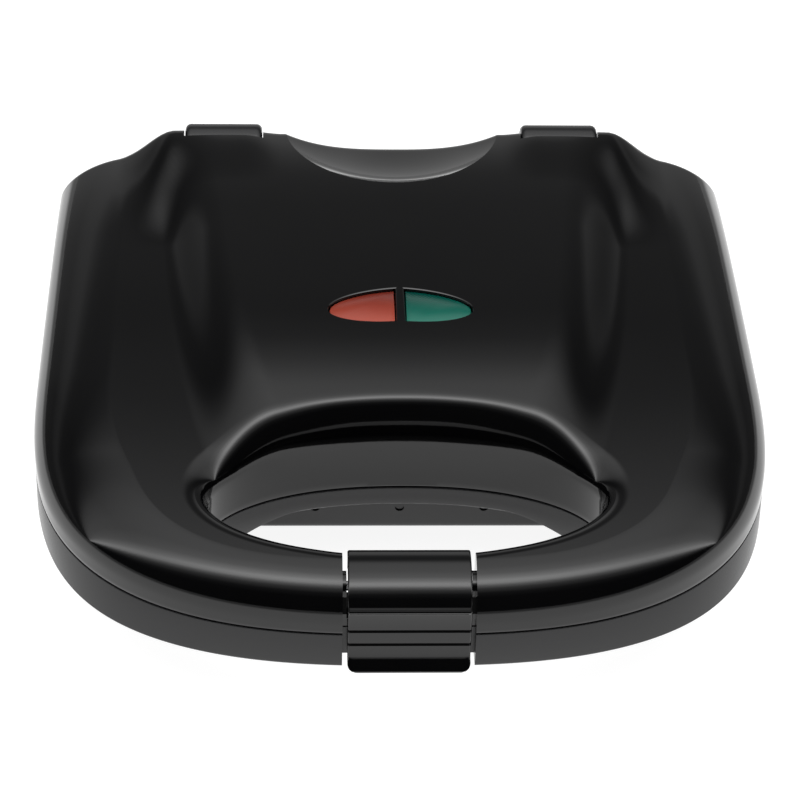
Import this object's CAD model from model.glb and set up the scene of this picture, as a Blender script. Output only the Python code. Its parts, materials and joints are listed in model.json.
import json
import math

import bmesh
import bpy
import numpy as np
from mathutils import Matrix, Vector


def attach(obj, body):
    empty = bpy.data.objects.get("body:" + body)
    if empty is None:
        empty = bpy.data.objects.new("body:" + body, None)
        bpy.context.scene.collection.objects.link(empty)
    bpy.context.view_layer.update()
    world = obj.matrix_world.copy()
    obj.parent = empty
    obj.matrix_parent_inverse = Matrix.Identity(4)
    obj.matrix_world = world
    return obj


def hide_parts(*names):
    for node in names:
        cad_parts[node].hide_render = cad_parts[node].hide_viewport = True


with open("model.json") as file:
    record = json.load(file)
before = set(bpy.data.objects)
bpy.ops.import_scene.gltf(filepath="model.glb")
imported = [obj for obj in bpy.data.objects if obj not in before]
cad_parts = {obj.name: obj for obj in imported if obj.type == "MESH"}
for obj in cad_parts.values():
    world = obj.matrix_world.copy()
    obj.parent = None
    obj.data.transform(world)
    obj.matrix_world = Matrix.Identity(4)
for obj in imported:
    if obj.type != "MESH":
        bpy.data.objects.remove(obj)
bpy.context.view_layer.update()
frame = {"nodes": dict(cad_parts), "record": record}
mm = 0.001
tiny = 1e-12  # keeps a division from a zero


# Camera: looks at the target from above the handle, in millimetres and degrees.
view = {
    "target": (0.1, -9.01, 50.13), "distance": 931.1, "elevation": 37.0, "yaw": -2.74, "roll": 1.68,
    "lens": 128.69, "sensor": 36.0, "farthest": 20.0,  # the last in metres
}


def addCamera():
    # The camera's axes from yaw, elevation and roll, and its place a distance back from the target.
    yaw, lift, roll = (math.radians(view[key]) for key in ("yaw", "elevation", "roll"))
    back = Vector((math.sin(yaw) * math.cos(lift), -math.cos(yaw) * math.cos(lift), math.sin(lift)))
    level = Vector((math.cos(yaw), math.sin(yaw), 0))
    rise = back.cross(level)
    across = level * math.cos(roll) + rise * math.sin(roll)
    up = rise * math.cos(roll) - level * math.sin(roll)
    data = bpy.data.cameras.new("camera")
    data.lens = view["lens"]
    data.sensor_width = view["sensor"]
    data.sensor_fit = "HORIZONTAL"
    data.clip_end = view["farthest"]
    camera = bpy.data.objects.new("camera", data)
    spot = Vector(view["target"]) * mm + back * view["distance"] * mm
    camera.matrix_world = Matrix.Translation(spot) @ Matrix((across, up, back)).transposed().to_4x4()
    bpy.context.scene.collection.objects.link(camera)
    bpy.context.scene.camera = camera
    bpy.context.scene.view_settings.view_transform = "Standard"


addCamera()
print("camera set")


# Materials
class Wire:
    # One socket's value; sums and products of wires and numbers make Math nodes.
    def __init__(self, tree, socket):
        self.tree = tree
        self.socket = socket

    def math(self, operation, *values):
        node = self.tree.nodes.new("ShaderNodeMath")
        node.operation = operation
        for place, value in enumerate(values):
            plug(self.tree, node.inputs[place], value)
        return Wire(self.tree, node.outputs[0])

    def __add__(self, other):
        return self.math("ADD", self, other)

    def __radd__(self, other):
        return self.math("ADD", other, self)

    def __sub__(self, other):
        return self.math("SUBTRACT", self, other)

    def __rsub__(self, other):
        return self.math("SUBTRACT", other, self)

    def __mul__(self, other):
        return self.math("MULTIPLY", self, other)

    def __rmul__(self, other):
        return self.math("MULTIPLY", other, self)

    def __truediv__(self, other):
        return self.math("DIVIDE", self, other)

    def clamped(self):
        return self.math("MINIMUM", self.math("MAXIMUM", self, 0.0), 1.0)


def plug(tree, socket, value):
    if isinstance(value, Wire):
        tree.links.new(value.socket, socket)
    else:
        socket.default_value = value


def setStops(elements, stops):
    # A ramp's stops, each a place and a level of grey.
    while len(elements) < len(stops):
        elements.new(0.5)
    for element, (place, level) in zip(elements, stops):
        element.position = place
        element.color = grey(level)


class Shader:
    # A node tree that grows one node at a time, its settings first.
    def __init__(self, tree):
        self.tree = tree
        self.tree.nodes.clear()

    def node(self, kind, settings=None, values=None, output=0):
        node = self.tree.nodes.new(kind)
        for key, value in (settings or {}).items():
            if key == "stops":
                setStops(node.color_ramp.elements, value)
            else:
                setattr(node, key, value)
        for key, value in (values or {}).items():
            plug(self.tree, node.inputs[key], value)
        return Wire(self.tree, node.outputs[output]) if node.outputs else node

    def mixed(self, share, first, second):
        # The colour sockets of this node are inputs 6 and 7 and output 2.
        return self.node("ShaderNodeMix", {"data_type": "RGBA"}, {0: share, 6: first, 7: second}, 2)

    def split(self, vector):
        parts = self.node("ShaderNodeSeparateXYZ", values={0: vector}).socket.node
        return [Wire(self.tree, socket) for socket in parts.outputs]


def tint(red, green, blue):
    return (red, green, blue, 1.0)


def grey(level):
    return tint(level, level, level)


def newMaterial(name):
    material = bpy.data.materials.new(name)
    material.use_nodes = True
    return material, Shader(material.node_tree)


texture = {"cloudDetail": 3.0, "grainDetail": 2.0, "contrast": 2.0, "ior": 1.5}


def surface(name, look):
    # Colour drifts slowly between two shades, roughness with it, and a fine noise gives the bump.
    material, shader = newMaterial(name)
    place = shader.node("ShaderNodeTexCoord", output="Object")
    cloud, grain = [
        shader.node("ShaderNodeTexNoise", values={
            "Vector": place, "Scale": look[kind + "Scale"], "Detail": texture[kind + "Detail"]})
        for kind in ("cloud", "grain")]
    share = ((cloud - 0.5) * texture["contrast"] + 0.5).clamped()
    shade = shader.mixed(share, tint(*look["dark"]), tint(*look["light"]))
    bump = shader.node("ShaderNodeBump", values={
        "Height": grain, "Strength": look["bump"], "Distance": look["bumpDepth"] * mm})
    values = {
        "Base Color": shade, "Metallic": look["metal"], "IOR": texture["ior"], "Normal": bump,
        "Roughness": cloud * look["roughDrift"] + (look["rough"] - look["roughDrift"] / 2)}
    body = shader.node("ShaderNodeBsdfPrincipled", values=values)
    shader.node("ShaderNodeOutputMaterial", values={"Surface": body})
    return material


# The depth of the bump is in millimetres.
lookKeys = (
    "dark", "light", "cloudScale", "grainScale", "bump", "bumpDepth", "rough", "roughDrift", "metal")
looks = {
    "black_shell": (
        (0.0012, 0.0012, 0.0014), (0.0022, 0.0022, 0.0025),
        18.0, 1500.0, 0.02, 0.2, 0.07, 0.03, 0.0),
    "satin_shell": ((0.008, 0.008, 0.0088), (0.011, 0.011, 0.012), 18.0, 1500.0, 0.05, 0.2, 0.26, 0.04, 0.0),
    "black_cover": ((0.012, 0.012, 0.013), (0.018, 0.018, 0.019), 30.0, 2400.0, 0.25, 0.2, 0.42, 0.08, 0.0),
    "plate_coating": ((0.016, 0.016, 0.017), (0.026, 0.026, 0.027), 45.0, 3000.0, 0.35, 0.2, 0.38, 0.1, 0.0),
    "heater_sheath": ((0.12, 0.11, 0.1), (0.3, 0.28, 0.25), 60.0, 1800.0, 0.2, 0.2, 0.45, 0.15, 0.9),
    "bright_sheet": ((0.6, 0.6, 0.6), (0.78, 0.78, 0.77), 25.0, 1500.0, 0.1, 0.2, 0.3, 0.1, 1.0),
    "steel": ((0.5, 0.5, 0.51), (0.68, 0.68, 0.69), 90.0, 2000.0, 0.1, 0.2, 0.32, 0.1, 1.0),
    "pale_insulator": ((0.66, 0.62, 0.54), (0.8, 0.77, 0.7), 70.0, 2500.0, 0.2, 0.2, 0.6, 0.1, 0.0),
    "black_rubber": ((0.012, 0.012, 0.012), (0.024, 0.024, 0.024), 60.0, 2200.0, 0.4, 0.3, 0.75, 0.1, 0.0),
    "lamp_glass": ((0.55, 0.48, 0.4), (0.8, 0.72, 0.62), 120.0, 900.0, 0.05, 0.2, 0.08, 0.03, 0.0),
    "lead_sleeve": ((0.7, 0.69, 0.65), (0.84, 0.82, 0.78), 80.0, 3000.0, 0.35, 0.2, 0.7, 0.1, 0.0),
}
finishes = {name: surface(name, dict(zip(lookKeys, row))) for name, row in looks.items()}

lensLook = {
    "pitch": 1.15, "line": 0.16, "front": -3.0, "rear": 14.0, "glow": 0.8,
    "bump": 0.15, "bumpDepth": 0.1, "rough": 0.18, "roughDrift": 0.04,
}


def lensMaterial(name, deep, glow):
    # Fine crossed lines, sin(x + y) and sin(x - y), over a colour that lightens towards the front edge.
    material, shader = newMaterial(name)
    place = shader.node("ShaderNodeTexCoord", output="Object")
    x, y, _ = shader.split(place)
    waves = [(x + y * side) * (2 * math.pi / (lensLook["pitch"] * mm)) for side in (1.0, -1.0)]
    ridges = [wave.math("SINE", wave) for wave in waves]
    lines = ridges[0].math("MAXIMUM", ridges[0], ridges[1])
    depth = (y / mm - lensLook["front"]) / (lensLook["rear"] - lensLook["front"])
    glowShare = (1.0 - depth).clamped()
    shade = shader.mixed((glowShare * lensLook["glow"] + lines * lensLook["line"]).clamped(), deep, glow)
    bump = shader.node("ShaderNodeBump", values={
        "Height": lines, "Strength": lensLook["bump"], "Distance": lensLook["bumpDepth"] * mm})
    body = shader.node("ShaderNodeBsdfPrincipled", values={
        "Base Color": shade, "Roughness": lensLook["rough"] - lines * lensLook["roughDrift"],
        "IOR": texture["ior"], "Normal": bump})
    shader.node("ShaderNodeOutputMaterial", values={"Surface": body})
    return material


finishes["red_lens"] = lensMaterial("red_lens", tint(0.1, 0.012, 0.008), tint(0.42, 0.06, 0.03))
finishes["green_lens"] = lensMaterial("green_lens", tint(0.0, 0.03, 0.025), tint(0.002, 0.16, 0.11))
print("materials made")


# Meshes
def meshFrom(name, points, faces, even=True):
    # Points in millimetres become a mesh in metres with its faces outwards: all are turned when its volume
    # is negative, or each by its neighbours when they aren't even.
    mesh = bpy.data.meshes.new(name)
    mesh.from_pydata((np.asarray(points).reshape(-1, 3) * mm).tolist(), [], faces)
    work = bmesh.new()
    work.from_mesh(mesh)
    if not even:
        bmesh.ops.recalc_face_normals(work, faces=work.faces)
    elif work.calc_volume(signed=True) < 0:
        bmesh.ops.reverse_faces(work, faces=work.faces)
    work.to_mesh(mesh)
    work.free()
    piece = bpy.data.objects.new(name, mesh)
    bpy.context.scene.collection.objects.link(piece)
    return piece


def gridFaces(rows, columns, rowsClosed=True, columnsClosed=True):
    # A quad between each point, the next in its row and the two beside them in the next row.
    i = np.arange(rows if rowsClosed else rows - 1)[:, None]
    j = np.arange(columns if columnsClosed else columns - 1)[None, :]
    up = (i + 1) % rows
    on = (j + 1) % columns
    quads = np.stack([i * columns + j, up * columns + j, up * columns + on, i * columns + on], axis=-1)
    return quads.reshape(-1, 4).tolist()


def ringPiece(name, sections):
    # Sections: rows round the ring, columns round each closed section.
    rows, columns = sections.shape[:2]
    return meshFrom(name, sections, gridFaces(rows, columns))


def stackPiece(name, layers):
    # Layers: closed outlines on top of one another, with a flat cap at each end.
    layers = np.asarray(layers, dtype=float)
    rows, columns = layers.shape[:2]
    faces = gridFaces(rows, columns, rowsClosed=False)
    faces.append(list(range(columns)))
    faces.append(list(range((rows - 1) * columns, rows * columns))[::-1])
    return meshFrom(name, layers, faces)


def barPiece(name, profile, places):
    # A closed [y, z] outline carried along x. A place is x, or (x, inset) where the outline is drawn in.
    profile = np.asarray(profile, dtype=float)
    layers = []
    for place in places:
        x, inset = place if isinstance(place, tuple) else (place, 0.0)
        layers.append(np.insert(drawnIn(profile, inset), 0, x, axis=1))
    return stackPiece(name, layers)


leastBend = 0.5  # keeps a sharp corner from running far in


def drawnIn(outline, inset):
    # Each corner moves inwards along the mean of the directions square to its two edges.
    if inset == 0:
        return outline
    along = np.roll(outline, -1, axis=0) - outline
    along /= np.maximum(np.linalg.norm(along, axis=1, keepdims=True), tiny)
    square = np.column_stack([-along[:, 1], along[:, 0]])
    area = np.sum(outline[:, 0] * np.roll(outline[:, 1], -1) - np.roll(outline[:, 0], -1) * outline[:, 1])
    square *= 1.0 if area > 0 else -1.0
    mean = square + np.roll(square, 1, axis=0)
    length = np.maximum(np.sum(mean * mean, axis=1, keepdims=True) / 2, leastBend)
    return outline + inset * mean / length


def boxPiece(name, x, y, z):
    # A block between two places on each axis.
    return barPiece(name, [[y[0], z[0]], [y[1], z[0]], [y[1], z[1]], [y[0], z[1]]], x)


def quarterTurn(radius, steps):
    # Inset and rise along a quarter circle: radius * (1 - cos) and radius * (1 - sin).
    turns = np.linspace(0, np.pi / 2, steps + 1)
    return [(radius * (1 - math.cos(turn)), radius * (1 - math.sin(turn))) for turn in turns]


def rounded(ends, radius, steps):
    # Places and insets of a quarter circle at both ends of a bar.
    low, high = ends
    left = [(low + rise, inset) for inset, rise in quarterTurn(radius, steps)]
    right = [(high - (x - low), inset) for x, inset in left]
    return left[::-1] + right


def combine(piece, tool, operation):
    # The result of the Boolean takes the place of the piece's mesh, and the tool goes.
    modifier = piece.modifiers.new(operation, "BOOLEAN")
    modifier.operation = operation
    modifier.solver = "MANIFOLD"
    modifier.object = tool
    before = len(piece.data.vertices)
    result = bpy.data.meshes.new_from_object(piece.evaluated_get(bpy.context.evaluated_depsgraph_get()))
    piece.modifiers.clear()
    old = piece.data
    name = old.name
    piece.data = result
    bpy.data.meshes.remove(old)
    result.name = name
    toolMesh = tool.data
    bpy.data.objects.remove(tool)
    bpy.data.meshes.remove(toolMesh)
    if len(result.vertices) in (0, before):
        print("no change:", piece.name, operation)
    return piece


def cut(piece, *tools):
    for tool in tools:
        combine(piece, tool, "DIFFERENCE")
    return piece


def join(piece, *others):
    for other in others:
        combine(piece, other, "UNION")
    return piece


def dress(piece, slotName, body, replaced, sharp, finish=None):
    # Finish, smooth shading up to the sharp angle, and what the piece rides on and stands for.
    piece.data.materials.clear()
    piece.data.materials.append(finishes[finish or slotName])
    piece.data.shade_smooth()
    piece.data.set_sharp_from_angle(angle=math.radians(sharp))
    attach(piece, body)
    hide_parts(*replaced)
    print(piece.name, len(piece.data.polygons), "faces")
    return piece


def smooth(value):
    # 3 t^2 - 2 t^3: from 0 to 1, level at both ends.
    t = np.clip(value, 0, 1)
    return t * t * (3 - 2 * t)


def mix(a, b, t):
    return a + (b - a) * t


def ellipseDrop(share, drop):
    # How far a quarter ellipse has fallen: drop * (1 - sqrt(1 - share^2)).
    t = np.clip(share, 0, 1)
    return drop * (1 - np.sqrt(np.maximum(1 - t * t, 0)))


def arc(y, z, radius, start, end, steps):
    # [y, z] points on a circle between two angles.
    turn = np.radians(np.linspace(start, end, steps + 1))
    return np.column_stack([y + radius * np.cos(turn), z + radius * np.sin(turn)])


def circle(y, z, radius, count):
    # A whole circle, its first point not repeated.
    return arc(y, z, radius, 0, 360 - 360 / count, count - 1)


# The plan of the body, in millimetres: a superellipse round the handle, nearly straight sides and rear.
plan = {
    "halfWidth": 118.0, "handleFront": 113.4, "sideBend": 4.0, "sideTaper": 0.7, "rearWall": 111.2,
    "sideRollWidth": 25.0, "rearRollWidth": 5.0, "frontAcross": 2.7, "frontAlong": 2.72,
    "openingHalf": 61.0, "openingMiddle": 69.1, "openingRear": 42.8, "openingFront": 95.7,
    "openingAcross": 2.2, "openingAlong": 1.85,
    "lidBottom": 41.3, "baseTop": 40.7, "wall": 2.5,
    "rollSpread": 0.6,  # share of the front over which the outer roll widens
    "edgeTurn": [(1.0, 0.0), (0.3, 0.3), (0.0, 1.0)],  # a rounded edge: inwards and away, in its radii
    "rayCount": 210, "traceSteps": 3000, "turnWeight": 16.0, "edgeSteps": 4001, "edgeStep": 0.01,
    "leastSquare": 0.5,
    "overrun": 3.0, "farOverrun": 6.0,  # how far a cutting shape runs past what it cuts
}
rearWall, openingMiddle = plan["rearWall"], plan["openingMiddle"]
frontLength = plan["handleFront"] - plan["sideBend"]


def openingEdge(bearing):
    # A superellipse that reaches further to the front than to the rear: the distance from the opening's
    # middle to its edge, and how square the edge stands to the ray.
    turn = np.pi * (np.linspace(0, 1, plan["edgeSteps"]) - 0.5)
    across = np.cos(turn) ** (2 / plan["openingAcross"]) * plan["openingHalf"]
    rear = openingMiddle - plan["openingRear"]
    front = plan["openingFront"] - openingMiddle
    reach = np.where(turn > 0, rear, front)
    along = np.sign(turn) * reach * np.abs(np.sin(turn)) ** (2 / plan["openingAlong"])
    angles = np.arctan2(along, across)
    radii = np.hypot(across, along)
    near = np.interp(bearing, angles, radii)
    step = plan["edgeStep"]
    slope = (np.interp(bearing + step, angles, radii) - np.interp(bearing - step, angles, radii)) / (2 * step)
    return near, np.maximum(near / np.hypot(near, slope), plan["leastSquare"])


def outlineHalf(count):
    # Rear wall, elliptical corner, side and superellipse, from the rear's middle to the handle's middle.
    # Rows: x, y and the outward direction. Points lie closer where the outline bends.
    t = np.linspace(0, 1, plan["traceSteps"])
    quarter = t * np.pi / 2
    cornerX, cornerY = plan["sideRollWidth"], plan["rearRollWidth"]
    side = plan["halfWidth"] - plan["sideTaper"]
    rearX, sideY = side - cornerX, rearWall - cornerY
    across = np.cos(quarter) ** (2 / plan["frontAcross"])
    along = np.sin(quarter) ** (2 / plan["frontAlong"])
    rear = [rearX * t, np.full_like(t, rearWall), 0 * t, 1 + 0 * t]
    corner = [
        rearX + cornerX * np.sin(quarter), rearWall - cornerY * (1 - np.cos(quarter)),
        np.sin(quarter) / cornerX, np.cos(quarter) / cornerY]
    flank = [mix(side, plan["halfWidth"], t), mix(sideY, -plan["sideBend"], t), 1 + 0 * t, 0 * t]
    front = [
        plan["halfWidth"] * across, -plan["sideBend"] - frontLength * along,
        across ** (plan["frontAcross"] - 1) / plan["halfWidth"],
        -(along ** (plan["frontAlong"] - 1)) / frontLength]
    table = np.concatenate([rear] + [np.array(part)[:, 1:] for part in (corner, flank, front)], axis=1)
    table[2:] /= np.hypot(table[2], table[3])
    turnings = np.abs(np.diff(np.unwrap(np.arctan2(table[3], table[2]))))
    lengths = np.hypot(*np.diff(table[:2])) + plan["turnWeight"] * turnings
    measure = np.concatenate([[0], np.cumsum(lengths)])
    wanted = np.linspace(0, measure[-1], count + 1)
    return np.array([np.interp(wanted, measure, row) for row in table])


def makeRays(half):
    # One ray from the opening's middle to each outline point, on both sides.
    loop = np.concatenate([half, half[:, -2:0:-1] * np.array([[-1], [1], [-1], [1]])], axis=1)
    x, y, nx, ny = loop
    dx, dy = np.abs(x), y + openingMiddle
    outer = np.hypot(dx, dy)
    bearing = np.arctan2(dy, dx)
    inner, innerSquare = openingEdge(bearing)
    across, along = dx / outer, dy / outer
    outerSquare = np.maximum(across * np.abs(nx) + along * ny, plan["leastSquare"])
    front = y < -plan["sideBend"]
    widening = smooth((y + plan["handleFront"]) / frontLength / plan["rollSpread"])
    table = {
        "nx": np.abs(nx), "ny": ny, "side": np.where(x < 0, -1.0, 1.0), "bearing": bearing,
        "across": across, "along": along, "outer": outer, "outerSquare": outerSquare, "inner": inner,
        "innerSquare": innerSquare, "front": front, "spread": np.where(front, widening, 1.0)}
    return {key: value[:, None] for key, value in table.items()}


def placesOn(radius):
    # How far out to its side and how far along a distance on each ray comes.
    return rays["across"] * radius, rays["along"] * radius - openingMiddle


def onRays(radius, height):
    # Points at a distance from the opening's middle along each ray.
    x, y = placesOn(radius)
    return np.stack(np.broadcast_arrays(rays["side"] * x, y, height), axis=-1)


def outerWall(inset, height):
    # Points an inset inside the outline, measured square to it.
    return onRays(rays["outer"] - inset / rays["outerSquare"], height)


def innerWall(inset, height):
    # Points an inset outside the opening, measured square to its edge.
    return onRays(rays["inner"] + inset / rays["innerSquare"], height)


rays = makeRays(outlineHalf(plan["rayCount"]))


# Lid shell: handle, shoulders, humped top with its scoop, roll to the finger opening.
lid = {
    "handleTop": 59.4, "shoulderRear": 71.0, "humpRear": 81.0, "slopeRear": 0.0231, "slopeFront": 0.1832,
    "slopeReach": 150.0, "slopePower": 5,
    "humpTopHalf": 58.0, "humpTopReach": 200.0, "humpFootHalf": 81.0, "humpFootReach": 260.0,
    "flareFrom": 50.0, "flareTop": 76.0, "flareFoot": 96.0, "slopeLean": 1.3,
    "earFrom": 76.0, "earTo": 108.0, "earRise": 1.3, "earInner": 38.0, "earBlend": 14.0,
    "crownFrom": 60.0, "crownDrop": 2.0, "crownPower": 2.5,
    "sideRollDrop": 15.0, "frontRollWidth": 14.0, "frontRollDrop": 13.0, "rearRollDrop": 4.0,
    "sideFall": 0.13,
    "rimWidthHandle": 5.0, "rimWidthRear": 7.6, "rimDropHandle": 3.6, "rimDropRear": 15.5,
    "rimCornerWidth": 2.0, "rimFrom": -45.0, "rimTo": 62.0, "rimShare": 0.4, "edgeRound": 0.35,
    "scoopRadius": 37.4, "scoopMiddle": 112.6, "scoopDepth": 6.2, "scoopPower": 3,
    "scoopMargin": 5.0, "scoopStep": 1.0, "scoopColumns": 121, "scoopRollSteps": 27, "scoopRows": 48,
    "rollColumns": 26, "topColumns": 84, "rimColumns": 34, "wallColumns": 8, "insideColumns": 24,
    "outerRows": 5, "rollShare": 0.5, "flatShare": 0.05, "leastShare": 0.1, "leastHollow": 1.0,
    "sharp": 22.0,
}


def rearCrown(y):
    # The top falls away at the rear as a power of the distance.
    share = np.maximum(y - lid["crownFrom"], 0) / (rearWall - lid["crownFrom"])
    return lid["crownDrop"] * share ** lid["crownPower"]


def humpLine(y):
    # Height of the hump's top: its fall steepens towards the front as a power of the distance.
    behind = np.maximum(rearWall - y, 0)
    reach, power = lid["slopeReach"], lid["slopePower"] + 1
    steep = lid["slopeFront"] * reach / power * (behind / reach) ** power
    return lid["humpRear"] - lid["slopeRear"] * behind - steep - rearCrown(y)


def slopeShare(x, y):
    # How far across the hump's side slope a place lies: 0 at its top edge, 1 at its foot. Both edges are
    # ellipses in plan, and the slope moves out to straight edges towards the rear.
    behind = rearWall - y
    top = lid["humpTopHalf"] * np.sqrt(np.maximum(1 - (behind / lid["humpTopReach"]) ** 2, 0))
    foot = lid["humpFootHalf"] * np.sqrt(np.maximum(1 - (behind / lid["humpFootReach"]) ** 2, 0))
    narrow = smooth(np.clip((x - top) / (foot - top), 0, 1) ** lid["slopeLean"])
    wide = smooth((x - lid["flareTop"]) / (lid["flareFoot"] - lid["flareTop"]))
    return mix(narrow, wide, smooth((y - lid["flareFrom"]) / (rearWall - lid["flareFrom"])))


def earRise(x, y):
    # The lid swells a little in front of the hinge barrels.
    along = smooth((y - lid["earFrom"]) / (lid["earTo"] - lid["earFrom"]))
    return lid["earRise"] * along * smooth((x - lid["earInner"]) / lid["earBlend"])


def sideLine(y):
    # The sides draw in a little towards the rear.
    share = np.clip((y + plan["sideBend"]) / (rearWall + plan["sideBend"]), 0, 1)
    return plan["halfWidth"] - plan["sideTaper"] * share


def rimShape():
    # Width and drop of the roll to the opening: from the handle's to the rear's with the ray's bearing,
    # and a little wider in between.
    share = smooth((np.degrees(rays["bearing"]) - lid["rimFrom"]) / (lid["rimTo"] - lid["rimFrom"]))
    wider = lid["rimCornerWidth"] * 4 * share * (1 - share)
    width = mix(lid["rimWidthHandle"], lid["rimWidthRear"], share) + wider
    drop = mix(lid["rimDropHandle"], lid["rimDropRear"], share)
    return np.minimum(width, (rays["outer"] - rays["inner"]) * lid["rimShare"]), drop


def scoopDrop(x, y):
    # Depth * (1 - (distance / radius)^3), negative outside the circle.
    share = np.hypot(x, y - lid["scoopMiddle"]) / lid["scoopRadius"]
    return lid["scoopDepth"] * (1 - share ** lid["scoopPower"])


def lidHeight(radius):
    # Shoulder line + (hump + swelling) * (1 - slope) - side fall - the quarter-ellipse rolls at the outer
    # edge and at the opening.
    x, y = placesOn(radius)
    bodyShare = (y + plan["openingFront"]) / (rearWall + plan["openingFront"])
    shoulder = mix(lid["handleTop"], lid["shoulderRear"], 1 - (1 - bodyShare) ** 2) - rearCrown(y)
    tangentGap = (rays["outer"] - radius) * (rays["across"] * rays["nx"] + rays["along"] * rays["ny"])
    away = np.where(rays["front"], tangentGap, sideLine(y) - x)
    rollWidth = mix(lid["frontRollWidth"], plan["sideRollWidth"], rays["spread"])
    rollDrop = mix(lid["frontRollDrop"], lid["sideRollDrop"], rays["spread"])
    sideShare = np.clip(1 - away / rollWidth, 0, 1)
    rearShare = np.clip(1 - (rearWall - y) / plan["rearRollWidth"], 0, 1)
    weight = sideShare ** 2 + rearShare ** 2
    blend = (rollDrop * sideShare ** 2 + lid["rearRollDrop"] * rearShare ** 2) / np.maximum(weight, tiny)
    drop = np.where(weight > 0, blend, rollDrop)
    fall = lid["sideFall"] * rays["spread"] * np.maximum(rollWidth - away, 0)
    hump = np.where(y < -openingMiddle, 0, humpLine(y) - shoulder)
    rimWidth, rimDrop = rimShape()
    rim = ellipseDrop(1 - (radius - rays["inner"]) * rays["innerSquare"] / rimWidth, rimDrop)
    return (shoulder + (hump + earRise(x, y)) * (1 - slopeShare(x, y)) - fall - rim
            - ellipseDrop(np.minimum(np.hypot(sideShare, rearShare), 1), drop))


def lidRadii():
    # Columns crowd where the surface turns: outer roll, even top, roll to the opening.
    least = lid["leastShare"]
    frontReach = mix(lid["frontRollWidth"], plan["sideRollWidth"], rays["spread"]) / rays["outerSquare"]
    sideReach = plan["sideRollWidth"] / np.maximum(rays["across"], least)
    rearReach = plan["rearRollWidth"] / np.maximum(rays["along"], least)
    rearReach = rearReach + plan["halfWidth"] * np.maximum(1 - rays["along"], 0)
    reach = np.where(rays["front"], frontReach, np.minimum(sideReach, rearReach))
    span = rays["outer"] - rays["inner"]
    roll = np.minimum(reach, span * lid["rollShare"])
    rim = np.minimum(rimShape()[0] / rays["innerSquare"], span - roll - span * lid["flatShare"])
    turn = np.linspace(0, np.pi / 2, lid["rollColumns"] + 1)[None, :]
    outerPart = rays["outer"] - roll * (1 - np.cos(turn))
    start, end = rays["outer"] - roll, rays["inner"] + rim
    middle = mix(start, end, np.linspace(0, 1, lid["topColumns"] + 2)[None, 1:-1])
    turn = np.linspace(np.pi / 2, 0, lid["rimColumns"] + 1)[None, :]
    return np.concatenate([outerPart, middle, rays["inner"] + rim * (1 - np.cos(turn))], axis=1)


def lidOutside():
    # Each section: foot, outer wall, top from the outer roll to the opening, the opening's wall, foot.
    low, edge = plan["lidBottom"], lid["edgeRound"]
    radii = lidRadii()
    heights = lidHeight(radii)
    inwards, upwards = edge * np.array(plan["edgeTurn"]).T
    outerShares = np.linspace(0, 1, lid["outerRows"])[None, 1:-1]
    innerShares = np.linspace(1, 0, lid["wallColumns"] + 1)[None, 1:]
    return ringPiece("lid_outside", np.concatenate([
        onRays(rays["outer"] - inwards, low + upwards),
        onRays(rays["outer"], mix(low + edge, heights[:, :1], outerShares)),
        onRays(radii, heights),
        onRays(rays["inner"], mix(low + edge, heights[:, -1:], innerShares)),
        onRays(rays["inner"] + inwards[1::-1], low + upwards[1::-1])], axis=1))


def lidInside():
    # The hollow: the lid's own top, one wall lower and one wall in, and deeper under the scoop.
    wall = plan["wall"]
    outer = rays["outer"] - wall / rays["outerSquare"]
    inner = rays["inner"] + wall / rays["innerSquare"]
    share = np.linspace(0, 1, lid["insideColumns"])[None, :]
    radii = mix(outer, inner, share)
    x, y = placesOn(radii)
    heights = lidHeight(radii) - wall - np.maximum(scoopDrop(x, y), 0)
    low = plan["lidBottom"] - plan["overrun"]
    roof = onRays(radii, np.maximum(heights, low + lid["leastHollow"]))
    sections = [onRays(outer, low), roof, onRays(inner, low)]
    return ringPiece("lid_inside", np.concatenate(sections, axis=1))


# Hinge: barrels on the base's towers, and the room that the lid leaves round them.
hinge = {
    "height": 73.8, "behind": 109.0, "barrel": 7.4, "inner": 45.5, "outer": 72.5, "gap": 0.8,
    "sideGap": 0.3, "lug": 4.0, "round": 2.0, "towerFoot": 37.7, "towerHollow": 62.0,
    "roundSteps": 4, "notchSteps": 24, "barrelSteps": 48,
}


def hingeNotch(side, grow):
    # A quarter circle round the barrel, open below and behind.
    radius = hinge["barrel"] + hinge["gap"] + grow
    near = hinge["inner"] - hinge["sideGap"] - (hinge["lug"] if grow > 0 else 0)
    far = hinge["outer"] + hinge["sideGap"] + grow
    behind = rearWall + plan["farOverrun"]
    low = plan["lidBottom"] - plan["farOverrun"]
    profile = [
        [behind, low], [behind, hinge["height"] + radius],
        *arc(hinge["behind"], hinge["height"], radius, 90, 180, hinge["notchSteps"]),
        [hinge["behind"] - radius, low]]
    return barPiece("notch", profile, sorted([side * near, side * far]))


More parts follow.
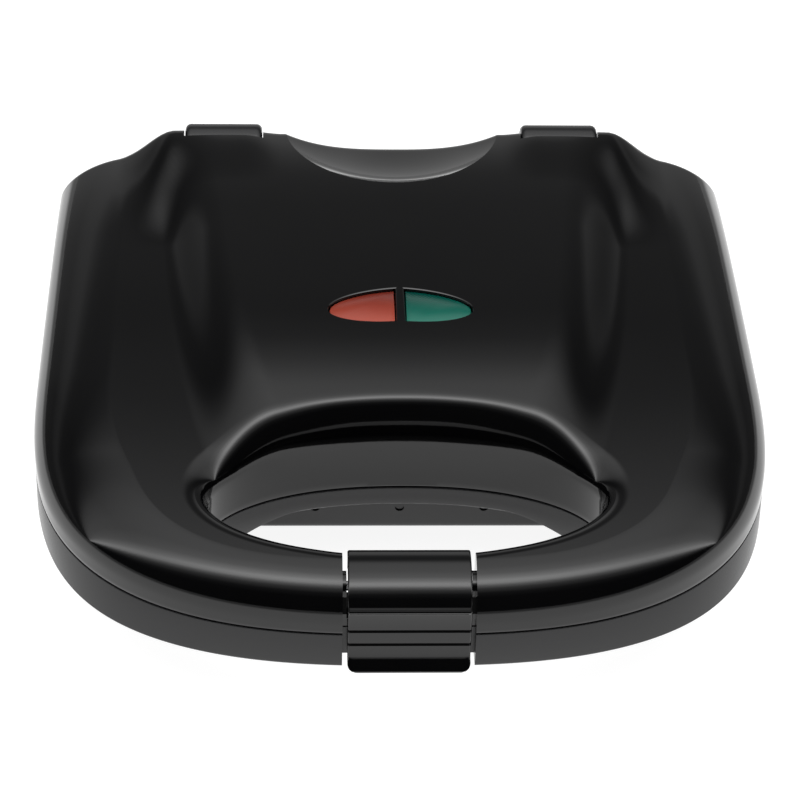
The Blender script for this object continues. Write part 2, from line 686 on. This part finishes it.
# Latch: the clip, the core that it grips and the gap in the handle for both.
latch = {
    "half": 18.5, "channelHalf": 20.0, "pivotFront": 101.6, "pivotHeight": 50.3, "pinRadius": 1.5,
    "pinPlay": 0.15, "core": 4.5, "coreFront": 109.4, "coreRear": 97.6, "coreBottom": 29.2,
    "coreLap": 10.0, "coreSteps": 32, "slotInset": 1.8, "slotPast": 0.3, "discSides": 48, "boreSides": 24,
    "rib": 4.5, "wall": 2.2, "play": 0.4, "discPlay": 0.3, "catch": 2.0, "round": 0.6, "roundSteps": 5,
    "front": 114.2, "rear": 94.8, "bottom": 28.0, "top": 59.3, "ridge": 50.4, "faceBottom": 33.6,
    "capRadius": 14.8, "capMiddle": 99.6, "capEnd": 27.0, "capSteps": 26, "capInsideSteps": 14,
    "groove": 0.9, "grooveDepth": 0.7, "groovePitch": 5.2, "grooveStart": 0.4,
    "grooveLine": [
        (1.25, 0), (1.0, 0.12), (0.7, 0.7), (0.4, 1), (-0.4, 1), (-0.7, 0.7), (-1.0, 0.12), (-1.25, 0)],
    "flare": 0.9, "tabFlare": 2.1, "tabCorner": 4.0, "tabReach": 0.999, "tabTurn": (0.6, 1.45, 7),
    "ridgeLine": [(0.3, 0.8), (0.5, 1 / 3), (0.4, -0.1), (0.15, -0.5), (0.0, -1.0)],  # out and up, in flares
    "tabStart": [(0.0, 0.5), (0.1, 0.0), (0.63, -1.3)],  # out and up
    "tabEnd": [(1.0, 1.0), (0.9, 0.3), (0.7, 0.0)],  # out in the tab's flare, up in flares
    "sharp": 30.0,
}
pivot = (-latch["pivotFront"], latch["pivotHeight"])
coreFront, coreRear = -latch["coreFront"], -latch["coreRear"]
coreHalf = latch["channelHalf"] + plan["wall"] / 2


def channel(grow, low, high):
    # The gap across the handle, a box from its front to the opening.
    half = latch["channelHalf"] + grow
    front = -plan["handleFront"] - plan["overrun"]
    return boxPiece("channel", (-half, half), (front, -openingMiddle), (low, high))


def scoopTool():
    # Its bottom is the lid's own top lowered by the scoop's drop, so it rises clear outside the circle.
    half = lid["scoopRadius"] + lid["scoopMargin"]
    x = np.linspace(-half, half, lid["scoopColumns"])
    steps = 1 - np.cos(np.linspace(0, np.pi / 2, lid["scoopRollSteps"]))
    rollEnd = rearWall - plan["rearRollWidth"]
    y = np.concatenate([
        [rearWall + plan["farOverrun"], rearWall + plan["overrun"]],
        rearWall - plan["rearRollWidth"] * steps,
        np.linspace(rollEnd - lid["scoopStep"], lid["scoopMiddle"] - half, lid["scoopRows"])])
    gridX, gridY = np.meshgrid(x, y, indexing="ij")
    behind = rearWall - gridY
    rearShare = np.clip(1 - behind / plan["rearRollWidth"], 0, 1)
    height = humpLine(gridY) - ellipseDrop(rearShare, lid["rearRollDrop"]) - scoopDrop(gridX, gridY)
    bottom = np.stack([gridX, gridY, height], axis=-1)
    top = bottom.copy()
    top[..., 2] = lid["humpRear"] + 2 * plan["farOverrun"]
    rows, columns = len(x), len(y)
    count = rows * columns
    under = gridFaces(rows, columns, False, False)
    over = (np.array(under)[:, ::-1] + count).tolist()
    rim = np.concatenate([
        np.arange(columns), np.arange(1, rows) * columns + columns - 1,
        (rows - 1) * columns + np.arange(columns - 2, -1, -1), np.arange(rows - 2, 0, -1) * columns])
    nextRim = np.roll(rim, -1)
    sides = np.column_stack([rim, nextRim, nextRim + count, rim + count]).tolist()
    return meshFrom("scoop", np.stack([bottom, top]), under + over + sides, even=False)


# Lamp lenses: two leaves, flat where they face each other and pointed outwards.
lens = {
    "gap": 3.6, "length": 21.2, "depth": 16.2, "middle": 5.6, "skew": 2.4, "tilt": 2.4, "thickness": 2.2,
    "recess": 0.8, "window": 0.35, "chamfer": 0.4, "edge": 0.5, "steps": 24, "bunching": 1.6,
    "windowDepth": 4.0,  # in thicknesses
    "chamferLine": [(0.0, -1.2), (0.35, -0.45), (1.0, 0.0), (5.0, 2.0)],  # out and up, in chamfers
    "edgeLine": [(0.0, -1.0), (-0.3, -0.3), (-1.0, 0.0)],  # out and up, in edge radii
    "sharp": 35.0,
}
lensTop = humpLine(lens["middle"]) - lens["recess"]


def leaf(side, grow):
    # Middle +- half * sqrt(1 - t^2) from the flat end to the tip, on a middle line that skews forward.
    flat = side * (lens["gap"] / 2 - grow)
    tip = side * (lens["gap"] / 2 + lens["length"] + grow)
    half = lens["depth"] / 2 + grow
    t = 1 - (1 - np.linspace(0, 1, lens["steps"] + 1)) ** lens["bunching"]
    x = mix(flat, tip, t)
    middle = lens["middle"] - lens["skew"] * t
    rise = half * np.sqrt(np.maximum(1 - t * t, 0))
    return np.concatenate([[x, middle + rise], [x[-2::-1], (middle - rise)[-2::-1]]], axis=1)


def leafStack(name, side, places):
    # Leaves over one another, sloped with the lid's top about the lenses' middle. A place is (grow, height).
    layers = []
    for grow, height in places:
        x, y = leaf(side, grow)
        slope = math.tan(math.radians(lens["tilt"])) * (y - lens["middle"])
        layers.append(np.column_stack([x, y, height + slope]))
    return stackPiece(name, layers)


def lensWindow(side):
    # Straight below, opened out by a small chamfer at the lid's surface.
    window, chamfer = lens["window"], lens["chamfer"]
    surface = lensTop + lens["recess"]
    places = [(window, lensTop - lens["thickness"] * lens["windowDepth"])]
    places += [(window + chamfer * out, surface + chamfer * up) for out, up in lens["chamferLine"]]
    return leafStack("window", side, places)


def lidCore():
    # An upright block under a round top, with a slot for each end of the clip.
    low, flat = plan["lidBottom"], latch["pivotHeight"] - latch["core"]
    core = barPiece("core", [
        [coreFront, low], [coreRear, low], [coreRear, flat],
        *arc(*pivot, latch["core"], -latch["coreLap"], 180 + latch["coreLap"], latch["coreSteps"]),
        [coreFront, flat]], [-coreHalf, coreHalf])
    along, upright = (-plan["handleFront"], -openingMiddle), (flat - latch["pinRadius"], lid["handleTop"])
    for side in (1, -1):
        near = side * (latch["half"] - latch["rib"] - latch["slotInset"])
        far = side * (latch["half"] + latch["slotPast"])
        cut(core, boxPiece("slot", sorted([near, far]), along, upright))
    return core


def lidSkin():
    # Outside less notches, gap and scoop, less an inside that keeps one wall from each of them.
    outside = lidOutside()
    cut(outside, hingeNotch(1, 0), hingeNotch(-1, 0),
        channel(0, plan["lidBottom"] - plan["overrun"], lid["humpRear"]), scoopTool())
    inside = lidInside()
    cut(inside, hingeNotch(1, plan["wall"]), hingeNotch(-1, plan["wall"]),
        channel(plan["wall"], plan["lidBottom"] - plan["farOverrun"], lid["humpRear"]))
    cut(outside, inside, lensWindow(1), lensWindow(-1))
    join(outside, lidCore())
    outside.name = "lid_skin"
    return dress(outside, "black_shell", "lid", ["lid_shell"], lid["sharp"])


lidSkin()


def lensPiece(side, name, slotName, replaced):
    # A leaf with a rounded upper edge.
    places = [(0, lensTop - lens["thickness"])]
    places += [(lens["edge"] * out, lensTop + lens["edge"] * up) for out, up in lens["edgeLine"]]
    return dress(leafStack(name, side, places), slotName, "lid", [replaced], lens["sharp"])


lensPiece(-1, "power_lens_skin", "red_lens", "power_lens")
lensPiece(1, "ready_lens_skin", "green_lens", "ready_lens")


# Base shell: skirt under the lid, belly, hinge towers with their barrels, foot bosses.
base = {
    "skirtBottom": 27.9, "lipBottom": 33.4, "skirtRound": 1.2, "edgeRound": 0.35, "cornerFlare": 1.7,
    "bellyFront": 30.0, "bellyRear": 100.0, "bellyHalf": 106.0, "bellyBottom": 12.0, "bellyDraft": 1.0,
    "bellyRound": 3.0, "bellyCorner": 16.0, "footRadius": 9.0, "footInset": 18.0, "footBottom": 3.5,
    "markPitch": 27.5, "markHeight": 21.6, "markRadius": 1.5, "markDepth": 0.3, "markOverrun": 1.0,
    "lipFrom": 0.1, "lipSteep": 2.0, "lipRound": 1.5, "stepShares": (0.7, 0.5), "stepSlant": 3.0,
    "leastAlong": 0.01, "hollowBend": 0.125, "draftShare": 0.9, "roundStart": 1.3, "footEdge": 0.4,
    "skirtSteps": 5, "lipSteps": 3, "bellySteps": 8, "cornerSteps": 10, "footSides": 48, "markSides": 32,
    "sharp": 25.0,
}


def lipHeight():
    # The underside rises from the skirt's bottom to the lip behind the opening.
    share = smooth((rays["along"] - base["lipFrom"]) * base["lipSteep"])
    return mix(base["skirtBottom"], base["lipBottom"], share)


def underStep():
    # The two ends of the step in the underside, behind the belly's front where there is room.
    behind = openingMiddle - base["bellyFront"] + plan["wall"]
    places = [behind + plan["wall"], behind + plan["wall"] / base["stepSlant"]]
    along = np.maximum(rays["along"], base["leastAlong"])
    return [np.minimum(place / along, mix(rays["inner"], rays["outer"], share))
            for place, share in zip(places, base["stepShares"])]


def baseRing():
    # Each section: rounded top edge, skirt that flares at the front corners, underside with its step,
    # lip and the opening's wall.
    top, low, edge, turn = plan["baseTop"], base["skirtBottom"], base["edgeRound"], base["skirtRound"]
    foot = lipHeight()
    near, far = underStep()
    flare = np.where(rays["front"], base["cornerFlare"] * (2 * rays["nx"] * rays["ny"]) ** 2, 0)
    edges = [(edge * inwards, top - edge * away) for inwards, away in plan["edgeTurn"]]
    columns = [
        outerWall(inset - flare * (top - height) / (top - low), height)
        for inset, height in [*edges, (0, low + turn)]]
    bend = quarterTurn(turn, base["skirtSteps"])
    columns += [outerWall(inset - flare, low + rise) for inset, rise in bend[1:]]
    columns += [onRays(near, low), onRays(far, foot)]
    lip = quarterTurn(base["lipRound"], base["lipSteps"])
    columns += [innerWall(inset, foot + rise) for inset, rise in lip[::-1]]
    columns += [innerWall(inset, height) for inset, height in edges[::-1]]
    return ringPiece("base_ring", np.concatenate(columns, axis=1))


def baseHollow():
    # The ring's section one wall in, open at the top.
    top, wall = plan["baseTop"] + plan["overrun"], plan["wall"]
    foot = lipHeight() + wall
    floor = base["skirtBottom"] + wall
    turn = base["skirtRound"]
    near, far = underStep()
    outer = [(0, top), (turn * base["hollowBend"], floor + turn / 2), (turn, floor)]
    inner = [(turn / 2, foot), (0, foot + turn / 2), (0, top)]
    columns = [outerWall(wall + inset, height) for inset, height in outer]
    columns += [onRays(near, floor), onRays(far, foot)]
    columns += [innerWall(wall + inset, height) for inset, height in inner]
    return ringPiece("base_hollow", np.concatenate(columns, axis=1))


def roundedRectangle(half, rear, front, corner, steps):
    # Four quarter circles round a rectangle.
    x, low, high = half - corner, front + corner, rear - corner
    middles = [(x, high, 0), (-x, high, 90), (-x, low, 180), (x, low, 270)]
    return np.concatenate([arc(x, y, corner, start, start + 90, steps) for x, y, start in middles])


def bellyPiece(wall, top):
    # A rounded rectangle that draws in by its draft, then round a quarter circle to the bottom.
    layers = []
    draft, radius, low = base["bellyDraft"], base["bellyRound"], base["bellyBottom"]
    places = [(0.0, top), (draft * base["draftShare"], low + radius * base["roundStart"])]
    places += [(draft + inset, low + rise) for inset, rise in quarterTurn(radius, base["bellySteps"])]
    for inset, height in places:
        grow = inset + wall
        outline = roundedRectangle(
            base["bellyHalf"] - grow, base["bellyRear"] - grow, grow - base["bellyFront"],
            base["bellyCorner"] - grow, base["cornerSteps"])
        layers.append(np.insert(outline, 2, height + (wall if height < top else 0), axis=1))
    return stackPiece("belly", layers)


def towerPiece(side):
    # A barrel on an upright behind the rear wall, rounded at its ends and hollow below the barrel.
    front, rear = hinge["behind"] - hinge["barrel"], hinge["behind"] + hinge["barrel"]
    inner = rearWall - plan["wall"]
    low = base["skirtBottom"] + plan["wall"]
    outline = [
        [front, hinge["towerFoot"]], [inner, hinge["towerFoot"]], [inner, low], [rearWall, low],
        [rear, low + rear - rearWall],
        *arc(hinge["behind"], hinge["height"], hinge["barrel"], 0, 180, hinge["barrelSteps"])]
    ends = sorted([side * hinge["inner"], side * hinge["outer"]])
    tower = barPiece("tower", outline, rounded(ends, hinge["round"], hinge["roundSteps"]))
    wall, below = plan["wall"], hinge["towerFoot"] - plan["overrun"]
    hollow = [
        [front + wall, below], [inner, below], [inner, plan["baseTop"] + wall],
        [rear - wall, plan["baseTop"] + wall], [rear - wall, hinge["towerHollow"]],
        [front + wall, hinge["towerHollow"]]]
    return cut(tower, barPiece("tower_hollow", hollow, [ends[0] + wall, ends[1] - wall]))


def footBoss(x, y):
    # A short post with a chamfered foot.
    radius, low, edge = base["footRadius"], base["footBottom"], base["footEdge"]
    places = [(radius, base["bellyBottom"] + plan["wall"]), (radius, low + edge), (radius - edge, low)]
    return stackPiece("boss", [
        np.insert(circle(x, y, reach, base["footSides"]), 2, height, axis=1) for reach, height in places])


def frontMark(x):
    # A shallow round dent in the belly's front.
    ring = circle(x, base["markHeight"], base["markRadius"], base["markSides"])
    front = -base["bellyFront"]
    ends = (front - base["markOverrun"], front + base["bellyDraft"] + base["markDepth"])
    return stackPiece("mark", [np.insert(ring, 1, y, axis=1) for y in ends])


def baseCore():
    # The lower half of the handle's core, with its two lower edges cut off.
    bevel = plan["wall"] / 2
    low, top = latch["coreBottom"], plan["baseTop"]
    return barPiece("base_core", [
        [coreFront, top], [coreFront, low + bevel], [coreFront + bevel, low],
        [coreRear - bevel, low], [coreRear, low + bevel], [coreRear, top]], [-coreHalf, coreHalf])


def baseSkin():
    # Ring and belly less the gap and the hollow, then towers, core, marks and foot bosses.
    low, over = base["skirtBottom"] - plan["overrun"], plan["baseTop"] + plan["overrun"]
    shell = join(baseRing(), bellyPiece(0, plan["baseTop"] - plan["wall"]))
    cut(shell, channel(0, low, over))
    hollow = cut(baseHollow(), channel(plan["wall"], low, plan["baseTop"] + plan["farOverrun"]))
    cut(shell, join(hollow, bellyPiece(plan["wall"], over)))
    join(shell, towerPiece(1), towerPiece(-1), baseCore())
    for x in (-base["markPitch"], 0, base["markPitch"]):
        cut(shell, frontMark(x))
    inset = base["footInset"]
    for side in (1, -1):
        for y in (base["bellyRear"] - inset, inset - base["bellyFront"]):
            join(shell, footBoss(side * (base["bellyHalf"] - inset), y))
    shell.name = "base_skin"
    return dress(shell, "black_shell", "base", ["base_shell"], base["sharp"], "satin_shell")


baseSkin()


# Latch clip: a cap over the pin that runs down the front of the handle to its catch.
def clipCap(wall, steps):
    # An arc from the clip's rear edge over the top to its face, one wall smaller inside.
    radius = latch["capRadius"] - wall
    start = math.acos((latch["rear"] + wall - latch["capMiddle"]) / radius)
    turn = np.linspace(start, math.radians(latch["capEnd"]), steps)
    y = -latch["capMiddle"] - radius * np.cos(turn)
    z = latch["top"] - latch["capRadius"] + radius * np.sin(turn)
    return np.column_stack([y, z])


def clipGrooves():
    # Two dents in the face, each a line of places across its width and depth.
    points = []
    half, depth = latch["groove"] / 2, latch["grooveDepth"]
    for count in (1, 2):
        middle = latch["ridge"] - latch["groovePitch"] * (count + latch["grooveStart"])
        for share, down in latch["grooveLine"]:
            points.append([depth * down - latch["front"], middle + half * share])
    return points


def clipProfile():
    # Round the clip's section: cap, ridge, grooved face, tab, catch and back up inside.
    flare, low = latch["flare"], latch["bottom"]
    front, inner = -latch["front"], latch["wall"] - latch["front"]
    lip, catch = latch["pivotHeight"] + latch["wall"], coreFront - latch["play"]
    return np.array([
        [-latch["rear"], lip], *clipCap(0, latch["capSteps"]),
        *[[front - flare * out, latch["ridge"] + flare * up] for out, up in latch["ridgeLine"]],
        *clipGrooves(),
        *[[front - out, latch["faceBottom"] + up] for out, up in latch["tabStart"]],
        *[[front - latch["tabFlare"] * out, low + flare * up] for out, up in latch["tabEnd"]],
        [catch, low], [catch, low + latch["catch"]], [inner, low + latch["catch"]],
        [inner, latch["pivotHeight"]], *clipCap(latch["wall"], latch["capInsideSteps"])[::-1],
        [-latch["rear"] - latch["wall"], lip]])


def clipSkin():
    # The section carried across, with rounded ends and a quarter circle at the tab's lower corners.
    profile = clipProfile()
    half, corner, low = latch["half"], latch["tabCorner"], latch["bottom"]
    turns = np.linspace(*latch["tabTurn"])
    places = rounded((-half, half), latch["round"], latch["roundSteps"])
    places += [(side * (half - corner * (1 - math.cos(turn))), 0.0) for side in (1, -1) for turn in turns]
    layers = []
    for x, inset in sorted(places, key=lambda place: place[0]):
        y, z = drawnIn(profile, inset).T
        over = max(abs(x) - (half - corner), 0)
        lowest = low + corner - math.sqrt(max(corner ** 2 - over ** 2, 0)) * latch["tabReach"]
        z = np.where(z < latch["faceBottom"], np.maximum(z, lowest), z)
        layers.append(np.column_stack([np.full(len(y), x), y, z]))
    shell = stackPiece("latch_skin", layers)
    cheek = [
        *clipCap(latch["wall"] / 2, latch["capInsideSteps"]),
        [latch["wall"] - latch["front"], pivot[1]], [latch["core"] + pivot[0], pivot[1]]]
    disc = circle(*pivot, latch["core"] - latch["discPlay"], latch["discSides"])
    for side in (1, -1):
        ends = sorted([side * (half - latch["round"]), side * (half - latch["rib"])])
        join(shell, barPiece("cheek", cheek, ends), barPiece("disc", disc, ends))
    bore = circle(*pivot, latch["pinRadius"] + latch["pinPlay"], latch["boreSides"])
    cut(shell, barPiece("bore", bore, [-half - plan["overrun"], half + plan["overrun"]]))
    return dress(shell, "black_shell", "latch", ["latch_clip"], latch["sharp"])


clipSkin()


# The CAD's own pieces take the finish of their slot.
for part in frame["record"]["subparts"]:
    node = frame["nodes"].get(part["node"])
    if node is not None and part["material_slot"] in finishes:
        node.data.materials.clear()
        node.data.materials.append(finishes[part["material_slot"]])
print("finishes given")


# Studio: a pale floor, in metres, and a sky whose stops are degrees from the rear horizon and brightness.
studio = {
    "floorSize": 8.0, "floorGlow": 0.9, "floorShade": 0.35, "floorRough": 0.9, "floorNear": 0.45,
    "floorFade": 0.3, "skyPeak": 5.0, "sideSteep": 1.8, "sideFrom": 0.2,
    "sideShade": [(0, 0.85), (15, 0.85), (30, 0.6), (52, 0.5), (70, 0.3), (180, 0.3)],
    "sky": [
        (0, 0.6), (12, 0.6), (22, 0.55), (26, 0.5), (29, 0.32), (32, 0.2), (36, 0.165), (42, 0.15),
        (46, 0.22), (50, 0.45), (56, 0.95), (62, 1.15), (80, 1.4), (95, 2.0), (105, 3.5), (111, 5.0),
        (116, 4.4), (121, 1.9), (127, 0.6), (136, 0.1), (146, 0.02), (180, 0.02)],
}


def lightPath(shader):
    # 1 or 0 for a ray from the camera, a glossy one and one that has passed through something clear.
    node = shader.node("ShaderNodeLightPath").socket.node
    names = ("Is Camera Ray", "Is Glossy Ray", "Is Transmission Ray")
    return [Wire(shader.tree, node.outputs[name]) for name in names]


def addFloor():
    # White to the camera and, near the body, to glossy and clear pieces; it keeps the body's shadow.
    half = studio["floorSize"] / 2
    corners = [(-half, -half, 0), (half, -half, 0), (half, half, 0), (-half, half, 0)]
    mesh = bpy.data.meshes.new("floor")
    mesh.from_pydata(corners, [], [(0, 1, 2, 3)])
    floor = bpy.data.objects.new("floor", mesh)
    bpy.context.scene.collection.objects.link(floor)
    material, shader = newMaterial("floor")
    camera, glossy, clear = lightPath(shader)
    place = shader.node("ShaderNodeTexCoord", output="Object")
    away = shader.node("ShaderNodeVectorMath", {"operation": "LENGTH"}, {0: place}, "Value")
    near = 1.0 - ((away - studio["floorNear"]) * (1 / studio["floorFade"])).clamped()
    seen = (camera + (glossy + clear) * near).clamped()
    body = shader.node("ShaderNodeBsdfPrincipled", values={
        "Base Color": grey(studio["floorShade"]), "Roughness": studio["floorRough"],
        "Specular IOR Level": 0.0, "Emission Color": shader.mixed(seen, grey(0), grey(1)),
        "Emission Strength": studio["floorGlow"]})
    shader.node("ShaderNodeOutputMaterial", values={"Surface": body})
    mesh.materials.append(material)


def ramp(shader, value, stops):
    # Straight lines between stops of place and level.
    colour = shader.node("ShaderNodeValToRGB", {"stops": stops}, {0: value})
    return shader.node("ShaderNodeRGBToBW", values={0: colour})


def addWorld():
    # Radiance by the angle from the rear horizon over the top to the front one, less towards both sides.
    world = bpy.data.worlds.new("studio")
    bpy.context.scene.world = world
    world.use_nodes = True
    shader = Shader(world.node_tree)
    place = shader.node("ShaderNodeTexCoord", output="Generated")
    x, y, z = shader.split(place)
    turn = z.math("ARCTAN2", z, y) * (1 / math.pi)
    peak = studio["skyPeak"]
    level = ramp(shader, turn, [(angle / 180, value / peak) for angle, value in studio["sky"]]) * peak
    side = x.math("ABSOLUTE", x)
    dim = ramp(shader, turn, [(angle / 180, value) for angle, value in studio["sideShade"]])
    shade = 1.0 - (side * studio["sideSteep"] - studio["sideFrom"]).clamped() * dim
    camera, _, clear = lightPath(shader)
    seen = (camera + clear).clamped()
    back = shader.node("ShaderNodeBackground", values={"Color": shader.mixed(seen, level * shade, grey(1))})
    shader.node("ShaderNodeOutputWorld", values={"Surface": back})


addFloor()
addWorld()
print("studio set")
